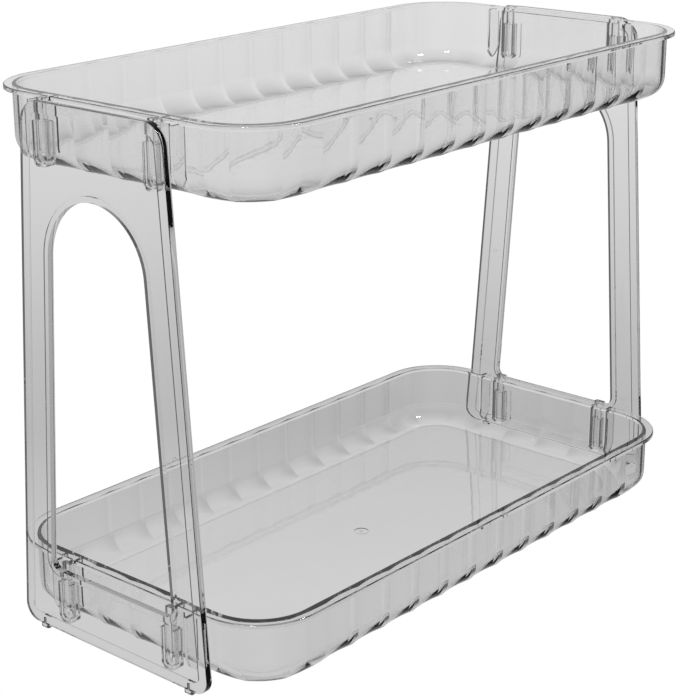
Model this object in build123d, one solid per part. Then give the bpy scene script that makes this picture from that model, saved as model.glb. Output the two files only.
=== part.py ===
from build123d import *
import math
import os

# Two-tier clear organiser: two identical trays hang in sockets on two side panels.
# Millimetres, +Z up, X along the length, origin on the floor under the centre.

OVERLAP = 0.5               # how far joined pieces of one moulding run into each other
SPARE = 1.0                 # extra reach of a cutting shape

# ---- trays -------------------------------------------------------------
RIM_HALF_X = 166.25
RIM_HALF_Y = 86.25
RIM_RADIUS = 33.0
RIM_THICK = 2.0
RIM_ROUND = 0.6
RIM_OVERHANG = 3.6          # rim edge to the crest of the flutes
TRAY_HEIGHT = 34.0
WALL = 2.2                  # at the crests of the flutes
FLOOR = 2.0
TUB_FILLET = 11.5           # outer radius between wall and floor
FLUTE_COUNT = 42
FLUTE_DEPTH = 1.0
CORNER_FLUTE_DEPTH = 0.4    # shallower round the corners
CORNER_REACH = 1.0          # flutes centred this near a corner count as corner flutes
FILLET_STEPS = 6            # sections of the loft between wall and floor
UPPER_RIM_Z = 254.0
LOWER_RIM_Z = 36.3
PANEL_POCKET = 0.15         # shallow relief under the flat of the floor
POCKET_MARGIN = 2.4         # flat ring left round the relief
GATE_RECESS_R = 3.8
GATE_RECESS_DEPTH = 0.5
GATE_NUB_R = 0.9
GATE_NUB_Z = 0.3
GATE_NUB_HEIGHT = 0.8

# ---- side panels -------------------------------------------------------
PANEL_OUT = 175.0           # outer face of the raised border
PANEL_BORDER = 1.2          # how far the border stands out
PANEL_PLATE = 2.0
PANEL_IN = PANEL_OUT - PANEL_BORDER - PANEL_PLATE
PANEL_TOP_Z = 253.6
PANEL_BOTTOM_Z = 2.1
PANEL_TOP_HALF = 43.4
PANEL_BOTTOM_HALF = 60.8
PANEL_TOP_R = 11.0
PANEL_BOTTOM_R = 8.0
FIELD_BOTTOM_R = 2.8
BORDER_WIDTH = 5.2
PANEL_ROUND = 0.5           # rounded outer edge
ARCH_TOP_Z = 214.0
ARCH_R = 30.4
ARCH_SLOPE = 0.0643         # outward lean of the opening's sides
CROSSBAR_TOP_Z = 33.6
ARCH_FOOT_R = 5.0
ARCH_BEAD = 2.8
LEG_GATE_Y = -44.0
LEG_GATE_Z = 110.0
LEG_GATE_R = 1.0
LEG_GATE_LENGTH = 1.0
LEG_GATE_PROUD = 0.3

# ---- hooks and sockets -------------------------------------------------
HOOK_Y = 34.3
HOOK_WEB = 2.0
HOOK_HEAD_HALF = 2.7
HOOK_HEAD_IN = 168.4
HOOK_HEAD_OUT = 171.1
HOOK_DROP = 28.1            # rim top to the foot of the hook
HOOK_WEB_RISE = 3.0         # the web stops this far above the foot
HOOK_LEAD = 1.2             # chamfer that finds the socket
SOCKET_HALF = 4.3
SOCKET_IN = 166.6
SOCKET_WALL = 1.4
SOCKET_POCKET_HALF = 3.0
SOCKET_SLOT_HALF = 1.4
SOCKET_TOP_DROP = 9.8       # rim top to the mouth of the socket
SOCKET_BOTTOM_DROP = 29.8
SOCKET_BOTTOM_R = 2.8
FIN_Y = 43.75
FIN_THICK = 1.8
FIN_OUT = 169.8
FIN_TOP_DROP = 2.0
FIN_DROP = 29.0
FIN_HEEL_RISE = 6.0
FIN_NOSE_RISE = 8.0
FIN_NOSE_RUN = 5.2
FIN_NOSE_MID = (1.4, 3.4)   # a point on the nose's curve, in from its edge and up

# ---- feet --------------------------------------------------------------
FOOT_Y = 48.0
FOOT_LENGTH = 5.2
FOOT_WIDTH = 3.0
FOOT_ROUND = 1.2
FOOT_CHAMFER = 0.4
FOOT_STEM_R = 0.8
FOOT_STEM_LENGTH = 3.0


def rounded_rect(half_x, half_y, radius):
    return RectangleRounded(2 * half_x, 2 * half_y, radius)


def rim_path_point(half_x, half_y, radius, turn, inset):
    """Point on a rounded rectangle, `turn` 0..1 counter-clockwise from the
    middle of the +Y side, pushed `inset` towards the inside."""
    straight_x = half_x - radius
    straight_y = half_y - radius
    corner = math.pi * radius / 2
    lengths = [straight_x, corner, 2 * straight_y, corner, 2 * straight_x]
    lengths += [corner, 2 * straight_y, corner, straight_x]
    run = turn * sum(lengths)
    starts = [
        ("x", 0.0, half_y, 180),
        ("c", -straight_x, straight_y, 90),
        ("x", -half_x, straight_y, 270),
        ("c", -straight_x, -straight_y, 180),
        ("x", -straight_x, -half_y, 0),
        ("c", straight_x, -straight_y, 270),
        ("x", half_x, -straight_y, 90),
        ("c", straight_x, straight_y, 0),
        ("x", straight_x, half_y, 180),
    ]
    for length, (kind, px, py, angle) in zip(lengths, starts):
        if run <= length + 1e-9:
            break
        run -= length
    if kind == "c":
        heading = math.radians(angle) + run / radius
        reach = radius - inset
        return (px + reach * math.cos(heading), py + reach * math.sin(heading))
    heading = math.radians(angle)
    along = (math.cos(heading), math.sin(heading))
    inward = (-along[1], along[0])
    x = px + run * along[0] + inset * inward[0]
    y = py + run * along[1] + inset * inward[1]
    return (x, y)


def fluted_face(half_x, half_y, radius, inset):
    """Rounded rectangle whose edge is a ring of shallow hollow flutes."""
    arcs = []
    for i in range(FLUTE_COUNT):
        turns = [(i + 0.5) / FLUTE_COUNT, (i + 1.0) / FLUTE_COUNT, (i + 1.5) / FLUTE_COUNT]
        turns = [t % 1.0 for t in turns]
        crest_a = rim_path_point(half_x, half_y, radius, turns[0], inset)
        middle = rim_path_point(half_x, half_y, radius, turns[1], inset)
        past_x = abs(middle[0]) > half_x - radius - CORNER_REACH
        past_y = abs(middle[1]) > half_y - radius - CORNER_REACH
        depth = CORNER_FLUTE_DEPTH if past_x and past_y else FLUTE_DEPTH
        hollow = rim_path_point(half_x, half_y, radius, turns[1], inset + depth)
        crest_b = rim_path_point(half_x, half_y, radius, turns[2], inset)
        arcs.append(ThreePointArc(crest_a, hollow, crest_b))
    return make_face(Wire(arcs))


def fluted_tub(half_x, half_y, radius):
    """Outside of the tray: flutes run down the wall and round on to the floor."""
    sections = []
    for step in range(FILLET_STEPS + 1):
        angle = math.pi / 2 * step / FILLET_STEPS
        inset = TUB_FILLET * (1 - math.sin(angle))
        height = TUB_FILLET * (1 - math.cos(angle))
        sections.append(Pos(0, 0, height) * fluted_face(half_x, half_y, radius, inset))
    wall_height = TRAY_HEIGHT - OVERLAP - TUB_FILLET
    return loft(sections) + extrude(sections[-1], wall_height)


def tub(half_x, half_y, radius, z_low, z_high, fillet_radius):
    block = extrude(Pos(0, 0, z_low) * rounded_rect(half_x, half_y, radius), z_high - z_low)
    low_edges = block.edges().group_by(Axis.Z)[0]
    return fillet(low_edges, fillet_radius)


def box(x0, x1, y0, y1, z0, z1):
    size = (x1 - x0, y1 - y0, z1 - z0)
    middle = ((x0 + x1) / 2, (y0 + y1) / 2, (z0 + z1) / 2)
    return Pos(*middle) * Box(*size)


def fin(y_mid):
    """Thin plate on the end wall that keeps the tray square to the panel."""
    foot = TRAY_HEIGHT - FIN_DROP
    top = TRAY_HEIGHT - FIN_TOP_DROP
    root = RIM_HALF_X - RIM_OVERHANG - WALL + OVERLAP
    nose_top = (FIN_OUT, foot + FIN_NOSE_RISE)
    nose_mid = (FIN_OUT - FIN_NOSE_MID[0], foot + FIN_NOSE_MID[1])
    nose_low = (FIN_OUT - FIN_NOSE_RUN, foot)
    heel = (root, foot + FIN_HEEL_RISE)
    profile = Polyline(nose_low, heel, (root, top), (FIN_OUT, top), nose_top)
    profile += ThreePointArc(nose_top, nose_mid, nose_low)
    face = make_face(Plane.XZ * profile)
    return Pos(0, y_mid, 0) * extrude(face, FIN_THICK / 2, both=True)


def hook(y_mid):
    """T-section hook: web from the wall, cross head that drops in a socket."""
    foot = TRAY_HEIGHT - HOOK_DROP
    root = RIM_HALF_X - RIM_OVERHANG - WALL + OVERLAP
    half = HOOK_WEB / 2
    web = box(
        root, HOOK_HEAD_IN + OVERLAP,
        y_mid - half, y_mid + half,
        foot + HOOK_WEB_RISE, TRAY_HEIGHT,
    )
    head = box(
        HOOK_HEAD_IN, HOOK_HEAD_OUT,
        y_mid - HOOK_HEAD_HALF, y_mid + HOOK_HEAD_HALF,
        foot, TRAY_HEIGHT,
    )
    head = chamfer(head.edges().group_by(Axis.Z)[0].filter_by(Axis.X), HOOK_LEAD)
    return web + head


def make_tray():
    crest_x = RIM_HALF_X - RIM_OVERHANG
    crest_y = RIM_HALF_Y - RIM_OVERHANG
    crest_r = RIM_RADIUS - RIM_OVERHANG
    outside = fluted_tub(crest_x, crest_y, crest_r)
    inside = tub(
        crest_x - WALL, crest_y - WALL, crest_r - WALL,
        FLOOR, TRAY_HEIGHT + SPARE, TUB_FILLET - WALL,
    )
    rim_z = TRAY_HEIGHT - RIM_THICK
    rim = extrude(Pos(0, 0, rim_z) * rounded_rect(RIM_HALF_X, RIM_HALF_Y, RIM_RADIUS), RIM_THICK)
    rim = fillet(rim.edges().group_by(Axis.Z)[-1], RIM_ROUND)
    body = outside + rim
    for side in (1, -1):
        for y_mid in (HOOK_Y, -HOOK_Y):
            part = hook(y_mid)
            body += part if side == 1 else part.mirror(Plane.YZ)
        for y_mid in (FIN_Y, -FIN_Y):
            part = fin(y_mid)
            body += part if side == 1 else part.mirror(Plane.YZ)
    body -= inside
    flat = TUB_FILLET + POCKET_MARGIN
    body -= extrude(rounded_rect(crest_x - flat, crest_y - flat, crest_r - flat), PANEL_POCKET)
    body -= Pos(0, 0, PANEL_POCKET) * extrude(Circle(GATE_RECESS_R), GATE_RECESS_DEPTH)
    body += Pos(0, 0, GATE_NUB_Z) * extrude(Circle(GATE_NUB_R), GATE_NUB_HEIGHT)
    return body


def panel_outline(inset):
    """A-shaped outline with rounded corners, in the YZ plane as (y, z)."""
    low = PANEL_BOTTOM_Z + inset
    high = PANEL_TOP_Z - inset
    slope = (PANEL_BOTTOM_HALF - PANEL_TOP_HALF) / (PANEL_TOP_Z - PANEL_BOTTOM_Z)
    side_inset = inset * math.sqrt(1 + slope * slope)
    low_half = PANEL_TOP_HALF + slope * (PANEL_TOP_Z - low) - side_inset
    high_half = PANEL_TOP_HALF + slope * (PANEL_TOP_Z - high) - side_inset
    shape = make_face(Polyline(
        (-low_half, low), (low_half, low), (high_half, high), (-high_half, high),
        close=True,
    ))
    corners = shape.vertices().group_by(Axis.Y)
    shape = fillet(corners[-1], PANEL_TOP_R - inset)
    corners = shape.vertices().group_by(Axis.Y)
    return fillet(corners[0], max(PANEL_BOTTOM_R - inset, FIELD_BOTTOM_R))


def arch_outline(grow):
    """Arched opening: round head, slightly splayed sides, rounded foot."""
    lean = math.atan(ARCH_SLOPE)
    centre_z = ARCH_TOP_Z - ARCH_R
    radius = ARCH_R + grow
    top_y = radius * math.cos(lean)
    top_z = centre_z + radius * math.sin(lean)
    foot_z = CROSSBAR_TOP_Z - grow
    foot_y = top_y + ARCH_SLOPE * (top_z - foot_z)
    edge = Line((-foot_y, foot_z), (foot_y, foot_z))
    edge += Line((foot_y, foot_z), (top_y, top_z))
    edge += ThreePointArc((top_y, top_z), (0, centre_z + radius), (-top_y, top_z))
    edge += Line((-top_y, top_z), (-foot_y, foot_z))
    face = make_face(edge)
    return fillet(face.vertices().group_by(Axis.Y)[0], ARCH_FOOT_R + grow)


def upright(face, x0, x1):
    """Extrude a (y, z) face from x0 to x1."""
    turned = Plane(origin=(x0, 0, 0), x_dir=(0, 1, 0), z_dir=(1, 0, 0)) * face
    return extrude(turned, x1 - x0, dir=(1, 0, 0))


def socket(y_mid, rim_z):
    """Open-topped pocket on the inner face of the panel, slotted for a web."""
    low = rim_z - SOCKET_BOTTOM_DROP
    high = rim_z - SOCKET_TOP_DROP
    block = box(SOCKET_IN, PANEL_IN + OVERLAP, y_mid - SOCKET_HALF, y_mid + SOCKET_HALF, low, high)
    low_sides = block.edges().filter_by(Axis.X).group_by(Axis.Z)[0]
    block = fillet(low_sides, SOCKET_BOTTOM_R)
    inner = SOCKET_IN + SOCKET_WALL
    pocket = box(
        inner, PANEL_IN,
        y_mid - SOCKET_POCKET_HALF, y_mid + SOCKET_POCKET_HALF,
        low + SOCKET_WALL, high + SPARE,
    )
    pocket = chamfer(pocket.edges().group_by(Axis.Z)[0].filter_by(Axis.X), HOOK_LEAD)
    slot = box(
        SOCKET_IN - SPARE, inner + OVERLAP,
        y_mid - SOCKET_SLOT_HALF, y_mid + SOCKET_SLOT_HALF,
        low + SOCKET_WALL + HOOK_LEAD, high + SPARE,
    )
    return block - pocket - slot


def make_panel():
    """Right-hand panel; the left one is the same moulding turned round."""
    plate = upright(panel_outline(0.0), PANEL_IN, PANEL_OUT)
    plate = fillet(plate.edges().group_by(Axis.X)[-1], PANEL_ROUND)
    field = upright(panel_outline(BORDER_WIDTH), PANEL_IN + PANEL_PLATE, PANEL_OUT + SPARE)
    field -= upright(arch_outline(ARCH_BEAD), PANEL_IN, PANEL_OUT + SPARE)
    body = plate - field
    body -= upright(arch_outline(0.0), PANEL_IN - SPARE, PANEL_OUT + SPARE)
    for rim_z in (UPPER_RIM_Z, LOWER_RIM_Z):
        for y_mid in (HOOK_Y, -HOOK_Y):
            body += socket(y_mid, rim_z)
    nub_x = PANEL_IN + PANEL_PLATE + LEG_GATE_PROUD - LEG_GATE_LENGTH / 2
    nub = Pos(nub_x, -LEG_GATE_Y, LEG_GATE_Z)
    body += nub * Rot(0, 90, 0) * Cylinder(LEG_GATE_R, LEG_GATE_LENGTH)
    middle = (PANEL_IN + PANEL_OUT) / 2
    for y_mid in (FOOT_Y, -FOOT_Y):
        hole = Pos(middle, y_mid, PANEL_BOTTOM_Z + FOOT_STEM_LENGTH / 2)
        body -= hole * Cylinder(FOOT_STEM_R, FOOT_STEM_LENGTH)
    return body


def make_foot():
    """Small press-in foot, stem up, standing on the floor."""
    pad = Pos(0, 0, PANEL_BOTTOM_Z / 2) * Box(FOOT_WIDTH, FOOT_LENGTH, PANEL_BOTTOM_Z)
    pad = fillet(pad.edges().filter_by(Axis.Z), FOOT_ROUND)
    pad = chamfer(pad.edges().group_by(Axis.Z)[0], FOOT_CHAMFER)
    stem = Pos(0, 0, PANEL_BOTTOM_Z + FOOT_STEM_LENGTH / 2)
    return pad + stem * Cylinder(FOOT_STEM_R, FOOT_STEM_LENGTH)


def save(shape, name):
    export_step(shape, os.path.join("parts", name + ".step"))


os.makedirs("parts", exist_ok=True)

tray = make_tray()
save(Pos(0, 0, UPPER_RIM_Z - TRAY_HEIGHT) * tray, "upper_tray")
save(Pos(0, 0, LOWER_RIM_Z - TRAY_HEIGHT) * tray, "lower_tray")

panel = make_panel()
save(panel, "right_side_panel")
save(Rot(0, 0, 180) * panel, "left_side_panel")

foot = make_foot()
foot_x = (PANEL_IN + PANEL_OUT) / 2
for side, x in (("left", -foot_x), ("right", foot_x)):
    for place, y in (("front", -FOOT_Y), ("rear", FOOT_Y)):
        save(Pos(x, y, 0) * foot, side + "_" + place + "_foot")
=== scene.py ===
import math

import bpy
from mathutils import Matrix, Vector

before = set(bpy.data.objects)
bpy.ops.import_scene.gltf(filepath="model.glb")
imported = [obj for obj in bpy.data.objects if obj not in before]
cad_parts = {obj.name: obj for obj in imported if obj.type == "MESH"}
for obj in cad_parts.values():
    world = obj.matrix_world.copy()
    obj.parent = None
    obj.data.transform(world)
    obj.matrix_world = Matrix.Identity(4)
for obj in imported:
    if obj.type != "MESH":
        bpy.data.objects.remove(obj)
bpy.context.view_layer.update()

# ---- camera ------------------------------------------------------------
CAMERA_AZIMUTH = math.radians(-47.83)
CAMERA_ELEVATION = math.radians(18.62)
CAMERA_ROLL = math.radians(-0.605)
CAMERA_DISTANCE = 0.8818
CAMERA_TARGET = Vector((-0.04984, -0.00459, 0.12212))
CAMERA_LENS = 97.2
SENSOR_WIDTH = 36.0
CAMERA_FAR = 200.0
CAMERA_SHIFT = (0.0555, -0.0107)

# ---- light -------------------------------------------------------------
FLOOR_WHITE = 1.0
FLOOR_HALF = 30.0
# Brightness of the sweep by the height (z) of the direction looked along.
SWEEP_LEVELS = (
    (-1.0, 0.60), (-0.49, 0.65), (-0.45, 0.65), (-0.40, 0.57), (-0.36, 0.50),
    (-0.32, 0.54), (-0.26, 0.65), (-0.17, 0.77), (-0.08, 0.82), (0.2, 0.80), (1.0, 0.7),
)
# The same for what is seen in a reflection, then how it fades behind the camera
# and towards the dark right-hand side of the studio.
MIRROR_LEVELS = ((-1.0, 0.5), (-0.2, 0.65), (0.1, 0.8), (0.4, 0.7), (0.6, 0.3), (1.0, 0.2))
TO_SWEEP = (0.74, 0.67, 0.0)
BEHIND_LEVELS = ((-1.0, 0.45), (-0.4, 0.5), (-0.1, 1.0), (1.0, 1.0))
TO_RIGHT = (0.67, -0.74, 0.0)
RIGHT_LEVELS = ((-1.0, 0.75), (-0.5, 0.75), (-0.1, 1.0), (0.3, 1.0), (0.6, 0.16), (1.0, 0.16))
SOFT_BOXES = (
    ("left_box", (-0.9, -0.5, 1.6), (0.3, 0.3), 14.0),
    ("right_box", (0.7, -0.9, 1.6), (0.3, 0.3), 14.0),
)
SOFT_BOX_AIM = (0.0, 0.0, 0.12)

# ---- plastic -----------------------------------------------------------
PLASTIC_IOR = 1.5
TRAY_SMOKE = 5.0        # absorption per metre of plastic
PANEL_SMOKE = 7.0
FOOT_SMOKE = 6.0
FLOW_SCALE = (45.0, 45.0, 45.0)         # mould flow marks, per metre
FLOW_DETAIL = 2.0
FLOW_DEPTH = 0.00006                    # metres
TINT_SCALE = (14.0, 14.0, 14.0)
TINT_DETAIL = 3.0
TINT_NOISE = (0.3, 0.7)                 # the part of the noise that tints
TINT_LOW = 0.985
SCUFF_SCALE = (260.0, 260.0, 1400.0)
SCUFF_DETAIL = 4.0
SCUFF_NOISE = (0.6, 0.75)
SCUFF_ROUGHNESS = 0.10
FOOT_ROUGHNESS = 0.2

# ---- render ------------------------------------------------------------
DEEP_BOUNCES = 40       # the rays cross many walls
MIRROR_BOUNCES = 12


def set_camera():
    data = bpy.data.cameras.new("camera")
    data.sensor_fit = "HORIZONTAL"
    data.sensor_width = SENSOR_WIDTH
    data.lens = CAMERA_LENS
    data.shift_x, data.shift_y = CAMERA_SHIFT
    data.clip_end = CAMERA_FAR
    camera = bpy.data.objects.new("camera", data)
    bpy.context.scene.collection.objects.link(camera)
    away = Vector((
        math.sin(CAMERA_AZIMUTH) * math.cos(CAMERA_ELEVATION),
        -math.cos(CAMERA_AZIMUTH) * math.cos(CAMERA_ELEVATION),
        math.sin(CAMERA_ELEVATION),
    ))
    right = (-away).cross(Vector((0, 0, 1))).normalized()
    up = right.cross(-away)
    turned_right = right * math.cos(CAMERA_ROLL) + up * math.sin(CAMERA_ROLL)
    turned_up = up * math.cos(CAMERA_ROLL) - right * math.sin(CAMERA_ROLL)
    axes = Matrix((turned_right, turned_up, away)).transposed().to_4x4()
    camera.matrix_world = Matrix.Translation(CAMERA_TARGET + away * CAMERA_DISTANCE) @ axes
    bpy.context.scene.camera = camera


def brightness_ramp(tree, stops, source):
    """Turns a value from -1 to 1 into a grey by a list of (value, grey)."""
    half = tree.nodes.new("ShaderNodeMath")
    half.operation = "MULTIPLY_ADD"
    half.inputs[1].default_value = 0.5
    half.inputs[2].default_value = 0.5
    tree.links.new(source, half.inputs[0])
    ramp = tree.nodes.new("ShaderNodeValToRGB")
    stop_list = ramp.color_ramp.elements
    stop_list.remove(stop_list[0])
    for number, (value, grey) in enumerate(stops):
        stop = stop_list[0] if number == 0 else stop_list.new((value + 1) / 2)
        stop.position = (value + 1) / 2
        stop.color = (grey, grey, grey, 1)
    tree.links.new(half.outputs[0], ramp.inputs["Fac"])
    return ramp.outputs["Color"]


def mix_colors(tree, factor, first, second, blend="MIX"):
    mix = tree.nodes.new("ShaderNodeMix")
    mix.data_type = "RGBA"
    mix.blend_type = blend
    for name, value in (("Factor", factor), ("A", first), ("B", second)):
        if hasattr(value, "links"):
            tree.links.new(value, mix.inputs[name])
        else:
            mix.inputs[name].default_value = value
    return mix.outputs["Result"]


def set_world():
    """White for the camera. Seen straight through the plastic it is a lit sweep,
    and what the plastic reflects, outside or inside its edges, is the studio with
    its dark side on the right."""
    world = bpy.data.worlds.new("studio")
    bpy.context.scene.world = world
    world.use_nodes = True
    tree = world.node_tree
    tree.nodes.clear()
    out = tree.nodes.new("ShaderNodeOutputWorld")
    background = tree.nodes.new("ShaderNodeBackground")
    tree.links.new(background.outputs[0], out.inputs["Surface"])
    where = tree.nodes.new("ShaderNodeTexCoord")
    parts = tree.nodes.new("ShaderNodeSeparateXYZ")
    tree.links.new(where.outputs["Generated"], parts.inputs[0])
    through = brightness_ramp(tree, SWEEP_LEVELS, parts.outputs["Z"])
    mirrored = brightness_ramp(tree, MIRROR_LEVELS, parts.outputs["Z"])
    for direction, levels in ((TO_SWEEP, BEHIND_LEVELS), (TO_RIGHT, RIGHT_LEVELS)):
        along = tree.nodes.new("ShaderNodeVectorMath")
        along.operation = "DOT_PRODUCT"
        along.inputs[1].default_value = direction
        tree.links.new(where.outputs["Generated"], along.inputs[0])
        fade = brightness_ramp(tree, levels, along.outputs["Value"])
        mirrored = mix_colors(tree, 1.0, mirrored, fade, "MULTIPLY")
    path = tree.nodes.new("ShaderNodeLightPath")
    reflected = tree.nodes.new("ShaderNodeMath")
    reflected.operation = "GREATER_THAN"
    reflected.inputs[1].default_value = 0.5
    tree.links.new(path.outputs["Glossy Depth"], reflected.inputs[0])
    seen = mix_colors(tree, reflected.outputs[0], through, mirrored)
    seen = mix_colors(tree, path.outputs["Is Camera Ray"], seen, (1, 1, 1, 1))
    tree.links.new(seen, background.inputs["Color"])


def make_floor():
    half = FLOOR_HALF
    mesh = bpy.data.meshes.new("floor")
    corners = [(-half, -half, 0), (half, -half, 0), (half, half, 0), (-half, half, 0)]
    mesh.from_pydata(corners, [], [(0, 1, 2, 3)])
    floor = bpy.data.objects.new("floor", mesh)
    bpy.context.scene.collection.objects.link(floor)
    material = bpy.data.materials.new("pale_floor")
    material.use_nodes = True
    tree = material.node_tree
    tree.nodes.clear()
    out = tree.nodes.new("ShaderNodeOutputMaterial")
    glow = tree.nodes.new("ShaderNodeEmission")
    glow.inputs["Color"].default_value = (1, 1, 1, 1)
    glow.inputs["Strength"].default_value = FLOOR_WHITE
    tree.links.new(glow.outputs[0], out.inputs["Surface"])
    mesh.materials.append(material)
    floor.visible_glossy = False
    floor.visible_transmission = False
    floor.visible_diffuse = False
    floor.visible_shadow = False


def make_lights():
    for name, place, size, power in SOFT_BOXES:
        data = bpy.data.lights.new(name, "AREA")
        data.shape = "RECTANGLE"
        data.size, data.size_y = size
        data.energy = power
        light = bpy.data.objects.new(name, data)
        bpy.context.scene.collection.objects.link(light)
        light.location = place
        aim = (Vector(SOFT_BOX_AIM) - Vector(place)).to_track_quat("-Z", "Y")
        light.rotation_euler = aim.to_euler()
        light.visible_camera = False
        light.visible_transmission = False


def noise(tree, scale, detail, seed):
    """Noise from 0 to 1 in the part's own metres, shifted by a seed."""
    where = tree.nodes.new("ShaderNodeTexCoord")
    place = tree.nodes.new("ShaderNodeMapping")
    place.inputs["Location"].default_value = (seed, 2.3 * seed, 3.7 * seed)
    place.inputs["Scale"].default_value = scale
    tree.links.new(where.outputs["Object"], place.inputs["Vector"])
    texture = tree.nodes.new("ShaderNodeTexNoise")
    texture.inputs["Scale"].default_value = 1.0
    texture.inputs["Detail"].default_value = detail
    tree.links.new(place.outputs["Vector"], texture.inputs["Vector"])
    return texture.outputs["Fac"]


def spread(tree, value, source, target):
    """Maps the source range to the target range, held at both ends."""
    node = tree.nodes.new("ShaderNodeMapRange")
    names = ("From Min", "From Max", "To Min", "To Max")
    for name, number in zip(names, source + target):
        node.inputs[name].default_value = number
    tree.links.new(value, node.inputs["Value"])
    return node.outputs["Result"]


def smoky_plastic(name, smoke, roughness, seed):
    """Clear moulded plastic: slow flow marks, a slight tint and fine scuffs."""
    material = bpy.data.materials.new(name)
    material.use_nodes = True
    tree = material.node_tree
    shader = tree.nodes["Principled BSDF"]
    out = tree.nodes["Material Output"]
    slow = noise(tree, TINT_SCALE, TINT_DETAIL, seed)
    tint = spread(tree, slow, TINT_NOISE, (TINT_LOW, 1.0))
    color = tree.nodes.new("ShaderNodeCombineColor")
    for channel in ("Red", "Green", "Blue"):
        tree.links.new(tint, color.inputs[channel])
    tree.links.new(color.outputs["Color"], shader.inputs["Base Color"])
    scuffs = noise(tree, SCUFF_SCALE, SCUFF_DETAIL, seed + 1.0)
    rough = spread(tree, scuffs, SCUFF_NOISE, (roughness, roughness + SCUFF_ROUGHNESS))
    tree.links.new(rough, shader.inputs["Roughness"])
    flow = tree.nodes.new("ShaderNodeBump")
    flow.inputs["Distance"].default_value = FLOW_DEPTH
    marks = noise(tree, FLOW_SCALE, FLOW_DETAIL, seed + 2.0)
    tree.links.new(marks, flow.inputs["Height"])
    tree.links.new(flow.outputs["Normal"], shader.inputs["Normal"])
    shader.inputs["IOR"].default_value = PLASTIC_IOR
    shader.inputs["Transmission Weight"].default_value = 1.0
    absorb = tree.nodes.new("ShaderNodeVolumeAbsorption")
    absorb.inputs["Color"].default_value = (0.0, 0.0, 0.0, 1)
    absorb.inputs["Density"].default_value = smoke
    tree.links.new(absorb.outputs[0], out.inputs["Volume"])
    return material


def dress(node, material):
    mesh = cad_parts[node].data
    mesh.materials.clear()
    mesh.materials.append(material)


set_camera()
set_world()
make_floor()
make_lights()
tray_plastic = smoky_plastic("tray_plastic", TRAY_SMOKE, 0.0, 11.0)
panel_plastic = smoky_plastic("panel_plastic", PANEL_SMOKE, 0.0, 23.0)
foot_plastic = smoky_plastic("foot_plastic", FOOT_SMOKE, FOOT_ROUGHNESS, 37.0)
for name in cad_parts:
    if name.endswith("tray"):
        dress(name, tray_plastic)
    elif name.endswith("panel"):
        dress(name, panel_plastic)
    else:
        dress(name, foot_plastic)

scene = bpy.context.scene
scene.view_settings.view_transform = "Standard"
scene.cycles.max_bounces = DEEP_BOUNCES
scene.cycles.transmission_bounces = DEEP_BOUNCES
scene.cycles.glossy_bounces = MIRROR_BOUNCES
scene.cycles.transparent_max_bounces = DEEP_BOUNCES
